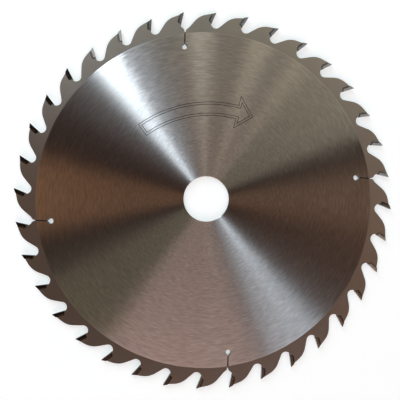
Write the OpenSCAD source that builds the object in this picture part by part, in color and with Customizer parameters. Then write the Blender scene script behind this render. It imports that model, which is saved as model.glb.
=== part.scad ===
// Circular saw blade with brazed carbide tips.
// The blade lies flat, with its marked side up. Z is the arbor axis, and the origin is at the
// middle of the bore, halfway through the plate. Seen from above it cuts clockwise.
// Each tooth is drawn as it stands on the Y axis, moving towards +X, and is then turned to its place.

/* [Blade] */
// Diameter over the cutting points
blade_d = 250; // [220:1:300]
// Diameter of the arbor bore
bore_d = 30; // [16:0.1:60]
// Bevel that breaks both edges of the bore
bore_edge = 0.2; // [0.05:0.05:0.4]
// Thickness of the steel plate
plate_t = 1.8; // [1.4:0.1:2.2]
// Width of cut, which is the full width of a carbide tip
kerf = 2.8; // [2.6:0.1:3.6]

/* [Teeth] */
// Number of teeth
tooth_count = 36; // [24:2:40]
// Forward lean of the cutting face, from the radius
hook_angle = 20; // [10:1:24]
// Fall of the tip's top behind the cutting edge, from the tangent
relief_angle = 18; // [12:1:22]
// Sideways slope of the tip's top, which changes side from tooth to tooth
bevel_angle = 10; // [1:1:15]

/* [Carbide tips] */
// Length of a tip along its cutting face
tip_length = 7.6; // [6.5:0.1:8]
// Thickness of a tip behind its cutting face
tip_thickness = 2.5; // [2:0.1:3]
// Radius of the tip's corner that sits in the bottom of its seat
tip_corner_r = 1; // [0.5:0.1:1.4]
// Angle at which a tip narrows towards the bore, on each side
radial_clearance = 1.5; // [0.5:0.1:2]
// Angle at which a tip narrows towards its back, on each side
tangential_clearance = 3; // [1:0.5:4]
// Thickness of the brazing film between a tip and its seat
braze_film = 0.05; // [0.02:0.01:0.1]

/* [Gullets] */
// Depth of a gullet below the cutting points
gullet_depth = 11.1; // [10.5:0.1:13]
// Radius of the bottom of a gullet
gullet_r = 3.3; // [3:0.1:4]
// Rise of the tooth's back out of the gullet, from the tangent
flank_angle = 42; // [36:1:50]
// Radius of the rounded shoulder on the tooth's back
shoulder_r = 13; // [6:0.5:15]
// Fall of the flat land between the tip and the shoulder, from the tangent
land_angle = 14; // [8:1:18]
// Depth of the land below the back of the tip's top
land_step = 0.4; // [0.1:0.1:0.8]

/* [Expansion slots] */
// Number of expansion slots
slot_count = 4; // [2:1:6]
// Width of a slot
slot_w = 0.8; // [0.4:0.1:1.5]
// Distance from the centre of a gullet to the hole at the end of its slot
slot_reach = 15; // [10:0.5:25]
// Lean of a slot from the radius
slot_lean = 9; // [0:1:15]
// Diameter of the hole at the end of a slot
slot_hole_d = 4; // [2:0.1:8]
// Depth of the slot's mouth below the bottom of the gullet
mouth_depth = 1.2; // [0.8:0.1:2]
// Angle between the two sides of the slot's mouth
mouth_angle = 80; // [60:1:88]

/* [Hidden] */
// Straight runs lap this far into the arcs that they meet, so that they cross cleanly
lap = 0.02;
// Cutting shapes reach this far past what they cut
overshoot = 5;
// Fineness of the round edges
$fn = 96;

blade_r = blade_d / 2;
pitch = 360 / tooth_count;

// Directions at a tooth: down its cutting face, and from that face to the back of the tip
down_face = [-sin(hook_angle), -cos(hook_angle)];
to_back = [-cos(hook_angle), sin(hook_angle)];
cutting_point = [0, blade_r];

// A tip's top falls by this angle behind the square of its cutting face
top_slope = hook_angle + relief_angle;

// The seat is the tip's own outline, set back by the brazing film
seat_thickness = tip_thickness + braze_film;
seat_length = tip_length + braze_film;
seat_corner = cutting_point + seat_thickness * to_back + seat_length * down_face;

// The gullet lies on the radius of the cutting point in front of it
gullet_centre = [0, blade_r - gullet_depth + gullet_r];
flank_normal = [sin(flank_angle), -cos(flank_angle)];
flank_foot = gullet_centre + (gullet_r - lap) * flank_normal;

// The land of a tooth begins at the top of its seat
land_start = cutting_point + seat_thickness * to_back
    + (seat_thickness * tan(top_slope) + land_step) * down_face;

// The next tooth's land, as it lies one pitch ahead
next_land_start = turned(land_start, -pitch);
next_land_normal = turned([sin(land_angle), -cos(land_angle)], -pitch);
next_land_forward = turned([cos(land_angle), sin(land_angle)], -pitch);
next_land_end = next_land_start + tip_thickness / 2 * next_land_forward;

// The shoulder's arc runs from the flank to the next tooth's land
shoulder_sink = shoulder_r - lap;
shoulder_centre = crossing(flank_normal, flank_normal * flank_foot + shoulder_sink,
    next_land_normal, next_land_normal * next_land_start + shoulder_sink);

// Names of the nodes
function tip_name(i) = str("carbide_tip_", i < 10 ? "0" : "", i);

// A point turned about the arbor axis
function turned(p, angle) = [p.x * cos(angle) - p.y * sin(angle), p.x * sin(angle) + p.y * cos(angle)];

// Where two lines cross, each given by its normal and its distance from the axis along that normal
function crossing(n1, d1, n2, d2) =
    let (det = n1.x * n2.y - n1.y * n2.x)
    [(d1 * n2.y - d2 * n1.y) / det, (n1.x * d2 - n2.x * d1) / det];

// Turns its children from the Y axis to the place of one tooth
module at_tooth(i) {
    rotate([0, 0, -(i - 1) * pitch]) children();
}

// Puts its children at the cutting point, with the cutting face down the Y axis and the tip behind it
module on_cutting_face() {
    translate(cutting_point) rotate([0, 0, -hook_angle]) children();
}

// What a rounding of radius r takes off an inside corner that lies at the origin
module corner_rest(r) {
    difference() {
        translate([-r, -r]) square(2 * r);
        translate([r, r]) circle(r = r + lap);
    }
}

// The opening between one tooth and the next: seat, gullet, and the air above the next tooth's back
module tooth_gap() {
    difference() {
        polygon([
            cutting_point + seat_thickness * to_back - overshoot * down_face,
            seat_corner,
            cutting_point + seat_length * down_face,
            gullet_centre,
            flank_foot,
            shoulder_centre - shoulder_sink * flank_normal,
            shoulder_centre - shoulder_sink * next_land_normal,
            next_land_end,
            next_land_end * (blade_r + overshoot) / blade_r
        ]);
        translate(shoulder_centre) circle(r = shoulder_r);
        translate(seat_corner) rotate(-hook_angle) corner_rest(tip_corner_r + braze_film);
    }
    translate(gullet_centre) circle(r = gullet_r);
}

// A leaning slot from the gullet to a round hole, with a tapered mouth
module expansion_slot() {
    mouth_reach = gullet_r + mouth_depth;
    mouth_side = mouth_reach * cos(mouth_angle / 2);
    translate(gullet_centre) rotate(-slot_lean) {
        translate([-slot_w / 2, -slot_reach]) square([slot_w, slot_reach]);
        translate([0, -slot_reach]) circle(d = slot_hole_d);
        polygon([
            [0, -mouth_reach],
            [mouth_side * sin(mouth_angle / 2), mouth_side * cos(mouth_angle / 2) - mouth_reach],
            [-mouth_side * sin(mouth_angle / 2), mouth_side * cos(mouth_angle / 2) - mouth_reach]
        ]);
    }
}

// Outline of the plate
module plate_outline() {
    difference() {
        circle(r = blade_r);
        for (i = [1:tooth_count]) at_tooth(i) tooth_gap();
        for (j = [0:slot_count - 1]) at_tooth(1 + floor(j * tooth_count / slot_count)) expansion_slot();
    }
}

// Steel plate with its bore
module saw_plate() {
    bore_r = bore_d / 2;
    edge_reach = bore_edge + lap;
    color([0.55, 0.53, 0.50]) difference() {
        linear_extrude(height = plate_t, center = true) plate_outline();
        cylinder(r = bore_r, h = plate_t + overshoot, center = true);
        for (side = [0, 1]) mirror([0, 0, side]) translate([0, 0, plate_t / 2 - bore_edge])
            cylinder(r1 = bore_r, r2 = bore_r + edge_reach, h = edge_reach);
    }
}

// A half space above the XZ plane, large enough to grind a tip
module grind_above() {
    reach = tip_length + kerf + overshoot;
    translate([-reach, 0, -reach]) cube(2 * reach);
}

// One carbide tip, with the high corner of its top on the upper side of odd teeth
module carbide_tip(i) {
    high_side = i % 2 == 1 ? 1 : -1;
    color([0.30, 0.30, 0.31]) at_tooth(i) on_cutting_face() difference() {
        linear_extrude(height = kerf, center = true) difference() {
            translate([-tip_thickness, -tip_length]) square([tip_thickness, tip_length + overshoot]);
            translate([-tip_thickness, -tip_length]) corner_rest(tip_corner_r);
        }
        translate([0, 0, high_side * kerf / 2]) rotate([0, 0, top_slope])
            rotate([-high_side * bevel_angle, 0, 0]) grind_above();
        for (side = [0, 1]) mirror([0, 0, side]) translate([0, 0, kerf / 2])
            rotate([radial_clearance, -tangential_clearance, 0]) rotate([90, 0, 0]) grind_above();
    }
}

saw_plate();
for (i = [1:tooth_count]) carbide_tip(i);
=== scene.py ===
"""Looks of a carbide-tipped circular saw blade lying on a pale floor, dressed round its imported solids.

Metres and degrees. +Z is the arbor's axis, out of the marked side, and tooth 1 points along +Y.
"""
import math
from typing import NamedTuple

import bmesh
import bpy
from mathutils import Matrix, Vector


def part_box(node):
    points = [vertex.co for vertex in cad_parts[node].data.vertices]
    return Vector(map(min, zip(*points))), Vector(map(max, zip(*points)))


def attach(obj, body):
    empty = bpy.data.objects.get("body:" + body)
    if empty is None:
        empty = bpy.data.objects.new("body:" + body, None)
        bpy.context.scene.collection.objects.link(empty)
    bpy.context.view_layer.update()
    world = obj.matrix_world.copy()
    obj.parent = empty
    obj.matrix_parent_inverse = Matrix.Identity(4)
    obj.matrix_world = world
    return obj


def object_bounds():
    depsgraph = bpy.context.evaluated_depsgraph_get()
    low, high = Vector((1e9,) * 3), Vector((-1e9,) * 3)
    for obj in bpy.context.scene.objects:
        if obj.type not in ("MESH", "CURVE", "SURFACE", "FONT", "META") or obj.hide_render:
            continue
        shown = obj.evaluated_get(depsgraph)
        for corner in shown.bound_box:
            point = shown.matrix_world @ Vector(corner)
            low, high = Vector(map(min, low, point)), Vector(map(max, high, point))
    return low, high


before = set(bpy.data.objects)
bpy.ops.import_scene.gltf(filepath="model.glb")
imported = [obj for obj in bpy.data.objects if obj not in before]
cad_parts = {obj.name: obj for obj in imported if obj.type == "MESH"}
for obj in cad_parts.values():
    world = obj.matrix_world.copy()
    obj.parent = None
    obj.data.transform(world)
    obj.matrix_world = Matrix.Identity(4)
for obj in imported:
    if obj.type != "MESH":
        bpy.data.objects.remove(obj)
cad_low, cad_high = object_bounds()

MM = 0.001

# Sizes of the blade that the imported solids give
blade_r = cad_high.y
plate_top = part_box("saw_plate")[1].z
tip_names = sorted(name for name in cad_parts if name.startswith("carbide_tip"))
pitch = 360 / len(tip_names)

# Sizes of a tooth that the dressing follows, as in the part's source
hook_angle = 20
relief_angle = 18
tip_length = 7.6 * MM
tip_thickness = 2.5 * MM
tip_corner_r = 1.0 * MM
kerf = 2.8 * MM
radial_clearance = 1.5
tangential_clearance = 3


def polar(radius, angle):
    """The point at that distance from the axis and that angle from +X"""
    turn = math.radians(angle)
    return Vector((radius * math.cos(turn), radius * math.sin(turn), 0))


def turned(angle, axis):
    """A turn by that angle about an axis through the origin"""
    return Matrix.Rotation(math.radians(angle), 4, axis)


def even_steps(start, end, count):
    """Values from start to end, both included, with that many even steps between them"""
    return [start + (end - start) * i / count for i in range(count + 1)]


class Wiring:
    """Shader nodes of one material or world, added and joined by short calls"""

    def __init__(self, tree):
        self.tree = tree
        tree.nodes.clear()

    def feed(self, socket, value):
        """Gives an input its value, or links it to the socket that brings one"""
        if isinstance(value, bpy.types.NodeSocket):
            self.tree.links.new(value, socket)
        else:
            socket.default_value = value

    def node(self, kind, inputs=None, **settings):
        """A new node, with its settings and with values or sockets for its inputs"""
        made = self.tree.nodes.new(kind)
        for name, value in settings.items():
            setattr(made, name, value)
        for name, value in (inputs or {}).items():
            self.feed(made.inputs[name], value)
        return made

    def maths(self, operation, *values):
        """The number that an operation on numbers gives"""
        return self.node("ShaderNodeMath", dict(enumerate(values)), operation=operation).outputs[0]

    def vector_maths(self, operation, values):
        """The outputs of an operation on vectors"""
        return self.node("ShaderNodeVectorMath", dict(enumerate(values)), operation=operation).outputs

    def vector(self, operation, *values):
        """The vector that an operation on vectors gives"""
        return self.vector_maths(operation, values)["Vector"]

    def measure(self, operation, *values):
        """The number that an operation on vectors gives"""
        return self.vector_maths(operation, values)["Value"]

    def ramp(self, value, start, end):
        """A smooth step from 0 at start to 1 at end"""
        inputs = {"Value": value, "From Min": start, "From Max": end}
        return self.node("ShaderNodeMapRange", inputs, interpolation_type="SMOOTHSTEP").outputs[0]

    def rise(self, angle, middle, softness):
        """Grows from 0 to 1 as an angle passes the middle, within that softness to each side"""
        return self.ramp(angle, math.radians(middle - softness), math.radians(middle + softness))

    def fall(self, angle, middle, softness):
        """Shrinks from 1 to 0 where rise would grow"""
        return self.rise(angle, middle, -softness)

    def spread(self, value, low, high):
        """A value between 0 and 1 laid evenly over another range"""
        inputs = {"Value": value, "To Min": low, "To Max": high}
        return self.node("ShaderNodeMapRange", inputs).outputs[0]

    def noise(self, place, size, detail=2.0):
        """Smooth noise between 0 and 1 at that place, in grains of about that size"""
        inputs = {"Vector": place, "Scale": 1 / size, "Detail": detail}
        return self.node("ShaderNodeTexNoise", inputs).outputs[0]

    def blend(self, share, first, second):
        """A colour between two colours"""
        made = self.node("ShaderNodeMix", {"Factor": share}, data_type="RGBA")
        for name, value in (("A", first), ("B", second)):
            socket = next(s for s in made.inputs if s.name == name and s.type == "RGBA")
            self.feed(socket, (*value, 1) if isinstance(value, tuple) else value)
        return next(s for s in made.outputs if s.type == "RGBA")

    def metal(self, colour, roughness, metallic=1.0, more=None):
        """A metal surface, with more inputs of its shader where it needs them"""
        inputs = {"Base Color": colour, "Metallic": metallic, "Roughness": roughness}
        return self.node("ShaderNodeBsdfPrincipled", inputs | (more or {})).outputs[0]

    def mix(self, share, first, second):
        """A surface between two surfaces"""
        return self.node("ShaderNodeMixShader", {0: share, 1: first, 2: second}).outputs[0]

    def object_place(self):
        """Where on the object a point is, in metres"""
        return self.node("ShaderNodeTexCoord").outputs["Object"]

    def round_place(self):
        """A point's distance from the axis, and its direction from the axis"""
        flat = self.vector("MULTIPLY", self.object_place(), (1, 1, 0))
        return self.measure("LENGTH", flat), self.vector("NORMALIZE", flat)

    def finish(self, surface, kind="ShaderNodeOutputMaterial"):
        """The surface that the material or world shows"""
        self.node(kind, {"Surface": surface})


def new_material(name):
    """An empty material and the wiring of its nodes"""
    material = bpy.data.materials.new(name)
    material.use_nodes = True
    return material, Wiring(material.node_tree)


# Ground middle of the plate: fine and coarse grinding lines, and the pale border that ends it
ground_r = 111 * MM
fine_line_w = 0.6 * MM
fine_line_radians = 0.06
fine_line_lean = 0.02
coarse_line_w = 0.8 * MM
coarse_line_radians = 0.12
coarse_line_lean = 0.011
ground_tones = ((0.30, 0.29, 0.275), (0.82, 0.795, 0.755))
ground_roughness = (0.275, 0.293)
quarter_turn = 0.25
border_start = ground_r - 0.9 * MM
border_full = ground_r - 0.3 * MM
border_tone = (0.66, 0.645, 0.62)


def ring_lines(wires, radius, direction, width, length):
    """Noise drawn out along circles round the axis: lines of that width, and that length in radians"""
    across = wires.node("ShaderNodeCombineXYZ", {"X": wires.maths("DIVIDE", radius, width)}).outputs[0]
    along = wires.vector("DIVIDE", direction, (length, length, length))
    # The circle of directions is stood upright, square to the X axis that carries the radius
    upright = {"Vector": along, "Rotation": (0, math.pi / 2, 0)}
    stood_up = wires.node("ShaderNodeMapping", upright).outputs[0]
    return wires.noise(wires.vector("ADD", across, stood_up), 1)


def ground_steel(wires, normal, radius, direction):
    """Circular-ground steel, which shines across its grinding lines"""
    fine = ring_lines(wires, radius, direction, fine_line_w, fine_line_radians)
    coarse = ring_lines(wires, radius, direction, coarse_line_w, coarse_line_radians)
    tangent = wires.node("ShaderNodeTangent", direction_type="RADIAL", axis="Z").outputs[0]
    wobble = wires.maths(
        "ADD",
        wires.spread(fine, -fine_line_lean, fine_line_lean),
        wires.spread(coarse, -coarse_line_lean, coarse_line_lean),
    )
    leaning = {0: tangent, "Scale": wobble}
    lean = wires.node("ShaderNodeVectorMath", leaning, operation="SCALE").outputs["Vector"]
    is_border = wires.ramp(radius, border_start, border_full)
    tone = wires.blend(is_border, wires.blend(fine, *ground_tones), border_tone)
    return wires.metal(tone, wires.spread(coarse, *ground_roughness), more={
        "Anisotropic": 1.0,
        "Anisotropic Rotation": quarter_turn,
        "Tangent": tangent,
        "Normal": wires.vector("NORMALIZE", wires.vector("ADD", normal, lean)),
    })


# Blasted rim of the plate: an even, dull grain over wide, faint patches
rim_softness = 0.1 * MM
rim_grain = 0.35 * MM
rim_patch = 12 * MM
rim_tones = ((0.43, 0.39, 0.34), (0.57, 0.52, 0.45))
rim_metallic = 0.97
rim_roughness = (0.276, 0.304)


def blasted_steel(wires, place):
    """Dull, grainy steel"""
    grain = wires.noise(place, rim_grain, detail=3.0)
    patches = wires.noise(place, rim_patch)
    mean = wires.maths("DIVIDE", wires.maths("ADD", grain, patches), 2)
    return wires.metal(wires.blend(mean, *rim_tones), wires.spread(grain, *rim_roughness), rim_metallic)


# Cut edges of the plate: dark, and lined across the thickness
edge_line_w = 0.2 * MM
edge_squeeze = (1, 1, 0.05)
edge_tones = ((0.14, 0.125, 0.11), (0.26, 0.24, 0.22))
edge_roughness = (0.40, 0.55)


def cut_steel(wires, place):
    """Laser-cut steel"""
    lines = wires.noise(wires.vector("MULTIPLY", place, edge_squeeze), edge_line_w)
    return wires.metal(wires.blend(lines, *edge_tones), wires.spread(lines, *edge_roughness))


# A face of the plate, as against an edge, is where the normal's part along the axis passes this range
face_range = (0.5, 0.9)


def plate_material():
    """Steel plate: a circular-ground middle, a blasted rim, and cut edges"""
    material, wires = new_material("plate_steel")
    place = wires.object_place()
    radius, direction = wires.round_place()
    normal = wires.node("ShaderNodeNewGeometry").outputs["Normal"]
    is_rim = wires.ramp(radius, ground_r - rim_softness, ground_r + rim_softness)
    face = wires.mix(is_rim, ground_steel(wires, normal, radius, direction), blasted_steel(wires, place))
    normal_z = wires.node("ShaderNodeSeparateXYZ", {0: normal}).outputs["Z"]
    is_face = wires.ramp(wires.maths("ABSOLUTE", normal_z), *face_range)
    wires.finish(wires.mix(is_face, cut_steel(wires, place), face))
    return material


# Carbide: a faint mottle and fine grinding lines
carbide_line_w = 0.25 * MM
carbide_squeeze = (1, 0.15, 1)
carbide_mottle = 1.5 * MM
carbide_tones = ((0.34, 0.345, 0.345), (0.46, 0.465, 0.465))
carbide_roughness = (0.07, 0.13)


def carbide_material():
    """Ground carbide"""
    material, wires = new_material("carbide")
    place = wires.object_place()
    lines = wires.noise(wires.vector("MULTIPLY", place, carbide_squeeze), carbide_line_w, detail=3.0)
    tone = wires.blend(wires.noise(place, carbide_mottle), *carbide_tones)
    wires.finish(wires.metal(tone, wires.spread(lines, *carbide_roughness)))
    return material


# Brazing metal: dark, with brassy spots where its noise passes this range
braze_spot = 0.5 * MM
braze_spot_range = (0.55, 0.72)
braze_tones = ((0.020, 0.017, 0.014), (0.30, 0.25, 0.18))
braze_roughness = (0.60, 0.35)


def braze_material():
    """Tarnished brazing metal, dark with brassy glints"""
    material, wires = new_material("braze")
    spots = wires.ramp(wires.noise(wires.object_place(), braze_spot, detail=3.0), *braze_spot_range)
    wires.finish(wires.metal(wires.blend(spots, *braze_tones), wires.spread(spots, *braze_roughness)))
    return material


# Etched line: dark, and broken into paler spots
etch_spot = 0.5 * MM
etch_tones = ((0.03, 0.027, 0.024), (0.14, 0.13, 0.12))
etch_metallic = 0.8
etch_roughness = (0.45, 0.65)


def etch_material():
    """Dark etched line in the steel"""
    material, wires = new_material("etched_line")
    spots = wires.noise(wires.object_place(), etch_spot)
    tone = wires.blend(spots, *etch_tones)
    wires.finish(wires.metal(tone, wires.spread(spots, *etch_roughness), etch_metallic))
    return material


def swept(sections, closed):
    """Corners and faces of a solid strip through a row of sections, each a ring of as many points"""
    ring = len(sections[0])
    count = len(sections)
    corners = [corner for section in sections for corner in section]
    faces = []
    for i in range(count if closed else count - 1):
        here = i * ring
        there = (i + 1) % count * ring
        for j in range(ring):
            k = (j + 1) % ring
            faces.append((here + j, there + j, there + k, here + k))
    if not closed:
        faces.append(tuple(reversed(range(ring))))
        faces.append(tuple(range((count - 1) * ring, count * ring)))
    return corners, faces


def mesh_object(name, solids, material):
    """One mesh made of several solids, each a list of corners and a list of faces"""
    corners = []
    faces = []
    for solid_corners, solid_faces in solids:
        start = len(corners)
        corners += solid_corners
        faces += [tuple(start + i for i in face) for face in solid_faces]
    mesh = bpy.data.meshes.new(name)
    mesh.from_pydata([tuple(corner) for corner in corners], [], faces)
    shape = bmesh.new()
    shape.from_mesh(mesh)
    bmesh.ops.recalc_face_normals(shape, faces=shape.faces)
    shape.to_mesh(mesh)
    shape.free()
    mesh.materials.append(material)
    piece = bpy.data.objects.new(name, mesh)
    bpy.context.scene.collection.objects.link(piece)
    return piece


# Rotation arrow: a bent arrow with an etched double outline, its arcs centred off the blade's axis
arrow_centre = Vector((0.9, -16.5, 0)) * MM
arrow_middle_r = 76.3 * MM
arrow_half_w = 4.5 * MM
arrow_head_half_w = 10.9 * MM
arrow_tail = 119.3
arrow_neck = 69.6
arrow_point = 61.5
arrow_inset = 1.55 * MM
arrow_line_w = 0.42 * MM
arrow_proud = 0.012 * MM
arrow_bed = 0.05 * MM
arrow_step = 1.5
arrow_mitre_limit = 5


def arrow_place(offset, angle):
    """A point that far outside the arrow's middle line, at that angle round the centre of its arcs"""
    return arrow_centre + polar(arrow_middle_r + offset, angle)


def arrow_outline():
    """Corners of the arrow's outline, clockwise along its outer arc and back along its inner arc"""
    angles = even_steps(arrow_tail, arrow_neck, round((arrow_tail - arrow_neck) / arrow_step))
    outer = [arrow_place(arrow_half_w, angle) for angle in angles]
    inner = [arrow_place(-arrow_half_w, angle) for angle in reversed(angles)]
    head = [
        arrow_place(arrow_head_half_w, arrow_neck),
        arrow_place(0, arrow_point),
        arrow_place(-arrow_head_half_w, arrow_neck),
    ]
    return outer + head + inner


def inset(points, distance):
    """The closed outline moved that far to the right of its run, with its corners kept sharp"""
    moved = []
    for i, point in enumerate(points):
        before = (point - points[i - 1]).normalized()
        after = (points[(i + 1) % len(points)] - point).normalized()
        right_before = Vector((before.y, -before.x, 0))
        right_after = Vector((after.y, -after.x, 0))
        middle = (right_before + right_after).normalized()
        mitre = max(middle.dot(right_after), 1 / arrow_mitre_limit)
        moved.append(point + middle * (distance / mitre))
    return moved


def etched_loop(points):
    """A thin line of residue along a closed outline, bedded in the marked face"""
    left = inset(points, -arrow_line_w / 2)
    right = inset(points, arrow_line_w / 2)
    top = Vector((0, 0, plate_top + arrow_proud))
    bed = Vector((0, 0, plate_top - arrow_bed))
    sections = [(a + top, b + top, b + bed, a + bed) for a, b in zip(left, right)]
    return swept(sections, closed=True)


def rotation_arrow(material):
    """The etched rotation arrow, as two outlines one inside the other"""
    outline = arrow_outline()
    loops = [etched_loop(outline), etched_loop(inset(outline, arrow_inset))]
    return mesh_object("rotation_arrow", loops, material)


# Braze: the bead of brazing metal round the back and foot of each tip, on both faces of the plate
braze_reach = 0.4 * MM
braze_back_lap = 1.0 * MM
braze_foot_lap = 0.5 * MM
braze_crown = 0.04 * MM
braze_crown_share = 0.6
braze_slope_share = 0.4
braze_slope_rise = 0.5
braze_skin = 0.006 * MM
braze_sink = 0.05 * MM
braze_top_gap = 0.5 * MM
braze_front_gap = 0.3 * MM
braze_step = 0.4 * MM

# Unevenness of a bead: steps of taper at its ends, and a wave with its radians per step and per tooth
braze_taper = 3
braze_wave = 0.15
braze_wave_step = 1.7
braze_wave_tooth = 2.3


def tip_place(tooth, x, y, z):
    """A point given along the cutting face of a tooth, in the blade's frame"""
    stand = Matrix.Translation((0, blade_r, 0)) @ turned(-hook_angle, "Z")
    return turned(-(tooth - 1) * pitch, "Z") @ stand @ Vector((x, y, z))


def tip_side_height(point):
    """Height of a tip's ground side above the plate's middle, at a point of the cutting face's frame"""
    inward_fall = math.tan(math.radians(radial_clearance)) * point.y
    backward_fall = math.tan(math.radians(tangential_clearance)) * point.x
    return kerf / 2 + inward_fall + backward_fall


def seat_path():
    """Points down a tip's back and along its foot, with the way outward, in the cutting face's frame"""
    corner = Vector((-tip_thickness + tip_corner_r, -tip_length + tip_corner_r, 0))
    top = -math.tan(math.radians(hook_angle + relief_angle)) * tip_thickness - braze_top_gap
    front = -braze_front_gap
    path = []
    for y in even_steps(top, corner.y, round((top - corner.y) / braze_step))[:-1]:
        path.append((Vector((-tip_thickness, y, 0)), Vector((-1, 0, 0))))
    for angle in even_steps(180, 270, round(tip_corner_r * math.pi / 2 / braze_step))[:-1]:
        out = polar(1, angle)
        path.append((corner + out * tip_corner_r, out))
    for x in even_steps(corner.x, front, round((front - corner.x) / braze_step)):
        path.append((Vector((x, -tip_length, 0)), Vector((0, -1, 0))))
    return path


def bead_section(point, out, size):
    """Ring round the bead across the seam: up the tip's side, over a low crown and down to the plate"""
    lap = math.hypot(out.x * braze_back_lap, out.y * braze_foot_lap)
    lap_point = point - out * lap * size
    crown_point = lap_point.lerp(point, braze_crown_share)
    slope_point = point + out * braze_reach * size * braze_slope_share
    foot_point = point + out * braze_reach * size
    rise = tip_side_height(point) - plate_top
    return [
        (lap_point, tip_side_height(lap_point) + braze_skin),
        (crown_point, tip_side_height(crown_point) + braze_crown * size),
        (slope_point, plate_top + rise * braze_slope_rise + braze_skin),
        (foot_point, plate_top + braze_skin),
        (foot_point, plate_top - braze_sink),
        (lap_point, plate_top - braze_sink),
    ]


def bead(path, tooth, side):
    """The bead of one tip on one face, tapered at its ends and wavy along its run"""
    sections = []
    for i, (point, out) in enumerate(path):
        taper = min(1, (i + 1) / braze_taper, (len(path) - i) / braze_taper)
        wave = math.sin(braze_wave_step * i + braze_wave_tooth * tooth + side)
        ring = bead_section(point, out, taper * (1 - braze_wave + braze_wave * wave))
        sections.append([tip_place(tooth, place.x, place.y, side * height) for place, height in ring])
    return swept(sections, closed=False)


def braze_beads(material):
    """Beads of brazing metal along the back and foot of every tip, on both faces"""
    path = seat_path()
    teeth = range(1, len(tip_names) + 1)
    beads = [bead(path, tooth, side) for tooth in teeth for side in (1, -1)]
    return mesh_object("braze_beads", beads, material)


# Floor: near white where it is open, with a painted shadow, dark, where the blade covers it within the
# contact's reach
floor_half = 4.0
floor_speckle = 2 * MM
floor_tones = ((0.47, 0.47, 0.47), (0.53, 0.53, 0.53))
floor_glow = (0.575, 0.625, 0.635)
contact_reach = 5 * MM
# Occlusion over which the painted shadow under the blade fades into the open floor
painted_shadow_range = (0.25, 0.38)
contact_samples = 32
# Colour of the painted shadow under the blade
painted_shadow_tone = (0.04, 0.04, 0.04)


def floor_material():
    """Pale floor that shows near white, keeps the blade's cast shadow, and has the blade's soft shadow
    painted in where the blade covers it
    """
    material, wires = new_material("floor")
    path = wires.node("ShaderNodeLightPath").outputs
    seen = wires.maths("MAXIMUM", path["Is Camera Ray"], path["Is Glossy Ray"])
    seen = wires.maths("MAXIMUM", seen, path["Is Transmission Ray"])
    contact = {"Distance": contact_reach}
    openness = wires.node("ShaderNodeAmbientOcclusion", contact, samples=contact_samples).outputs["AO"]
    # Painted shadow: where the occlusion says the blade covers the floor, the floor's colour turns dark
    # and its glow goes out
    outside_painted_shadow = wires.ramp(openness, *painted_shadow_range)
    pale = wires.blend(wires.noise(wires.object_place(), floor_speckle), *floor_tones)
    paint = wires.node("ShaderNodeBsdfDiffuse", {
        "Color": wires.blend(outside_painted_shadow, painted_shadow_tone, pale),
    }).outputs[0]
    glow = wires.node("ShaderNodeEmission", {
        "Color": (*floor_glow, 1),
        "Strength": wires.maths("MULTIPLY", seen, outside_painted_shadow),
    }).outputs[0]
    wires.finish(wires.node("ShaderNodeAddShader", {0: paint, 1: glow}).outputs[0])
    return material


def add_floor():
    """A wide floor under the lowest teeth"""
    low = -floor_half
    high = floor_half
    corners = [(x, y, cad_low.z) for x, y in ((low, low), (high, low), (high, high), (low, high))]
    floor = mesh_object("floor", [(corners, [(0, 1, 2, 3)])], floor_material())


class Wall(NamedTuple):
    """A lit patch of the room, by azimuth and slant. With its top at its foot it is a narrow strip."""

    azimuth: float
    half_width: float
    softness: float
    top: float
    foot: float
    colour: tuple


# Walls and ceiling of the studio, where a later patch covers an earlier one
WALLS = (
    # Patches that the rim mirrors
    Wall(84.5, 17.5, 4, 20, 26.5, (0.42, 0.435, 0.44)),
    Wall(40.5, 27.5, 3, 20, 27, (0.65, 0.62, 0.585)),
    Wall(354, 11, 3, 19, 29, (0.58, 0.43, 0.34)),
    Wall(325.5, 17, 4, 18, 30, (0.29, 0.16, 0.11)),
    Wall(288, 20, 4, 19, 28, (0.20, 0.115, 0.085)),
    Wall(256, 12, 4, 18, 32, (0.12, 0.06, 0.035)),
    # Patches that the ground middle spreads into sectors
    Wall(82.5, 29.5, 3.5, 32, 70, (0.36, 0.40, 0.27)),
    Wall(34.5, 18.5, 2, 32, 70, (0.95, 0.86, 0.63)),
    Wall(85.6, 3.5, 1.5, 32, 70, (2.0, 1.9, 1.55)),
    Wall(64.3, 3, 1.5, 32, 70, (1.75, 1.65, 1.2)),
    Wall(48.8, 2, 1.5, 32, 70, (1.6, 1.45, 1.05)),
    Wall(215.5, 14.5, 2.5, 40, 75, (0.46, 0.39, 0.23)),
    Wall(109.8, 4, 2, 32, 70, (1.05, 1.17, 1.33)),
    Wall(299.5, 6.5, 2.5, 40, 75, (1.75, 1.9, 2.25)),
    Wall(289.5, 4.5, 2, 40, 75, (2.6, 2.65, 2.95)),
    Wall(255.3, 27, 5, 50, 84, (4.9, 3.35, 3.15)),
    Wall(171.8, 12.6, 2, 33, 70, (0.81, 0.40, 0.20)),
    Wall(352.3, 12, 6, 32, 70, (0.14, 0.05, 0.02)),
    Wall(110.5, 7, 3, 8, 15.5, (1.7, 1.85, 2.1)),
    # Strips that the tips mirror
    Wall(132, 7.5, 1.5, 24, 24, (5.6, 5.6, 5.6)),
    Wall(112.5, 7.5, 2, 24, 24, (1.7, 1.7, 1.7)),
)

# The walls' angles are taken round this direction, a little off the blade's axis
light_middle = (0.067, 0.013, 0)
slant_softness = 3

# The room behind the walls, and the horizon in front of them
room_colour = (0.022, 0.009, 0.0055)
horizon_colour = (0.96, 0.96, 0.95)
horizon_zenith = 75
horizon_softness = 4


def wall_share(wires, wall, level, slant):
    """How far a wall fills a direction, given by its level part and its slant"""
    away = wires.maths("ARCCOSINE", wires.measure("DOT_PRODUCT", level, polar(1, wall.azimuth)))
    across = wires.fall(away, wall.half_width, wall.softness)
    below_top = wires.rise(slant, wall.top, slant_softness)
    above_foot = wires.fall(slant, wall.foot, slant_softness)
    return wires.maths("MULTIPLY", across, wires.maths("MULTIPLY", below_top, above_foot))


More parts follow.
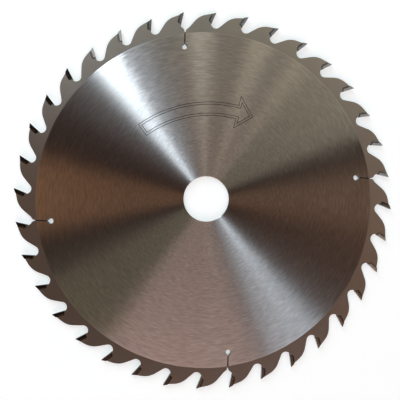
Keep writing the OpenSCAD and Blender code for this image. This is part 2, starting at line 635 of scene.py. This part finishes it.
def world_light():
    """A dim warm room with lit walls and a pale horizon"""
    world = bpy.data.worlds.new("studio")
    world.use_nodes = True
    bpy.context.scene.world = world
    wires = Wiring(world.node_tree)
    direction = wires.node("ShaderNodeTexCoord").outputs["Generated"]
    flat = wires.vector("SUBTRACT", wires.vector("MULTIPLY", direction, (1, 1, 0)), light_middle)
    level = wires.vector("NORMALIZE", flat)
    slant = wires.maths("ARCSINE", wires.maths("MINIMUM", wires.measure("LENGTH", flat), 1.0))
    colour = room_colour
    for wall in WALLS:
        colour = wires.blend(wall_share(wires, wall, level, slant), colour, wall.colour)
    direction_z = wires.node("ShaderNodeSeparateXYZ", {0: direction}).outputs["Z"]
    zenith = wires.maths("ARCCOSINE", direction_z)
    colour = wires.blend(wires.rise(zenith, horizon_zenith, horizon_softness), colour, horizon_colour)
    background = wires.node("ShaderNodeBackground", {"Color": colour, "Strength": 1.0}).outputs[0]
    wires.finish(background, "ShaderNodeOutputWorld")


# Window: a tall bright lamp that throws a sharp streak across the grinding lines
window_azimuth = 115.2
window_zenith = 60
window_distance = 1.6
window_w = 0.21
window_h = 0.86
window_radiance = 25
window_tint = (0.85, 0.98, 1.10)


def add_window():
    """The lamp of the window, out of the camera's sight"""
    lamp = bpy.data.lights.new("window", "AREA")
    lamp.shape = "RECTANGLE"
    lamp.size = window_h
    lamp.size_y = window_w
    lamp.color = window_tint
    lamp.energy = window_radiance * math.pi * window_w * window_h
    piece = bpy.data.objects.new("window", lamp)
    stand = Matrix.Translation((0, 0, window_distance))
    piece.matrix_world = turned(window_azimuth, "Z") @ turned(window_zenith, "Y") @ stand
    piece.visible_camera = False
    bpy.context.scene.collection.objects.link(piece)


# Camera: turned, tilted and stood off from the point it looks at
camera_target = Vector((-4.16, -0.20, 0)) * MM
camera_roll = -6.74
camera_tilt_x = 1.03
camera_tilt_y = -2.88
camera_distance = 285.2 * MM
camera_lens = 38.7
camera_sensor = 36
camera_near = 10 * MM
camera_far = 20


def add_camera():
    """The photograph's viewpoint"""
    data = bpy.data.cameras.new("camera")
    data.sensor_width = camera_sensor
    data.lens = camera_lens
    data.clip_start = camera_near
    data.clip_end = camera_far
    camera = bpy.data.objects.new("camera", data)
    turn = turned(camera_roll, "Z") @ turned(camera_tilt_x, "X") @ turned(camera_tilt_y, "Y")
    stand = Matrix.Translation((0, 0, camera_distance))
    camera.matrix_world = Matrix.Translation(camera_target) @ turn @ stand
    bpy.context.scene.collection.objects.link(camera)
    bpy.context.scene.camera = camera


def dress(node_name, material):
    """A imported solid's finish"""
    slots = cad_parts[node_name].data.materials
    slots.clear()
    slots.append(material)


bpy.context.scene.view_settings.view_transform = "Standard"
add_camera()
world_light()
add_window()
add_floor()

dress("saw_plate", plate_material())
carbide = carbide_material()
for tip_name in tip_names:
    dress(tip_name, carbide)

arrow = rotation_arrow(etch_material())
braze = braze_beads(braze_material())
for piece in (arrow, braze):
    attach(piece, "root")
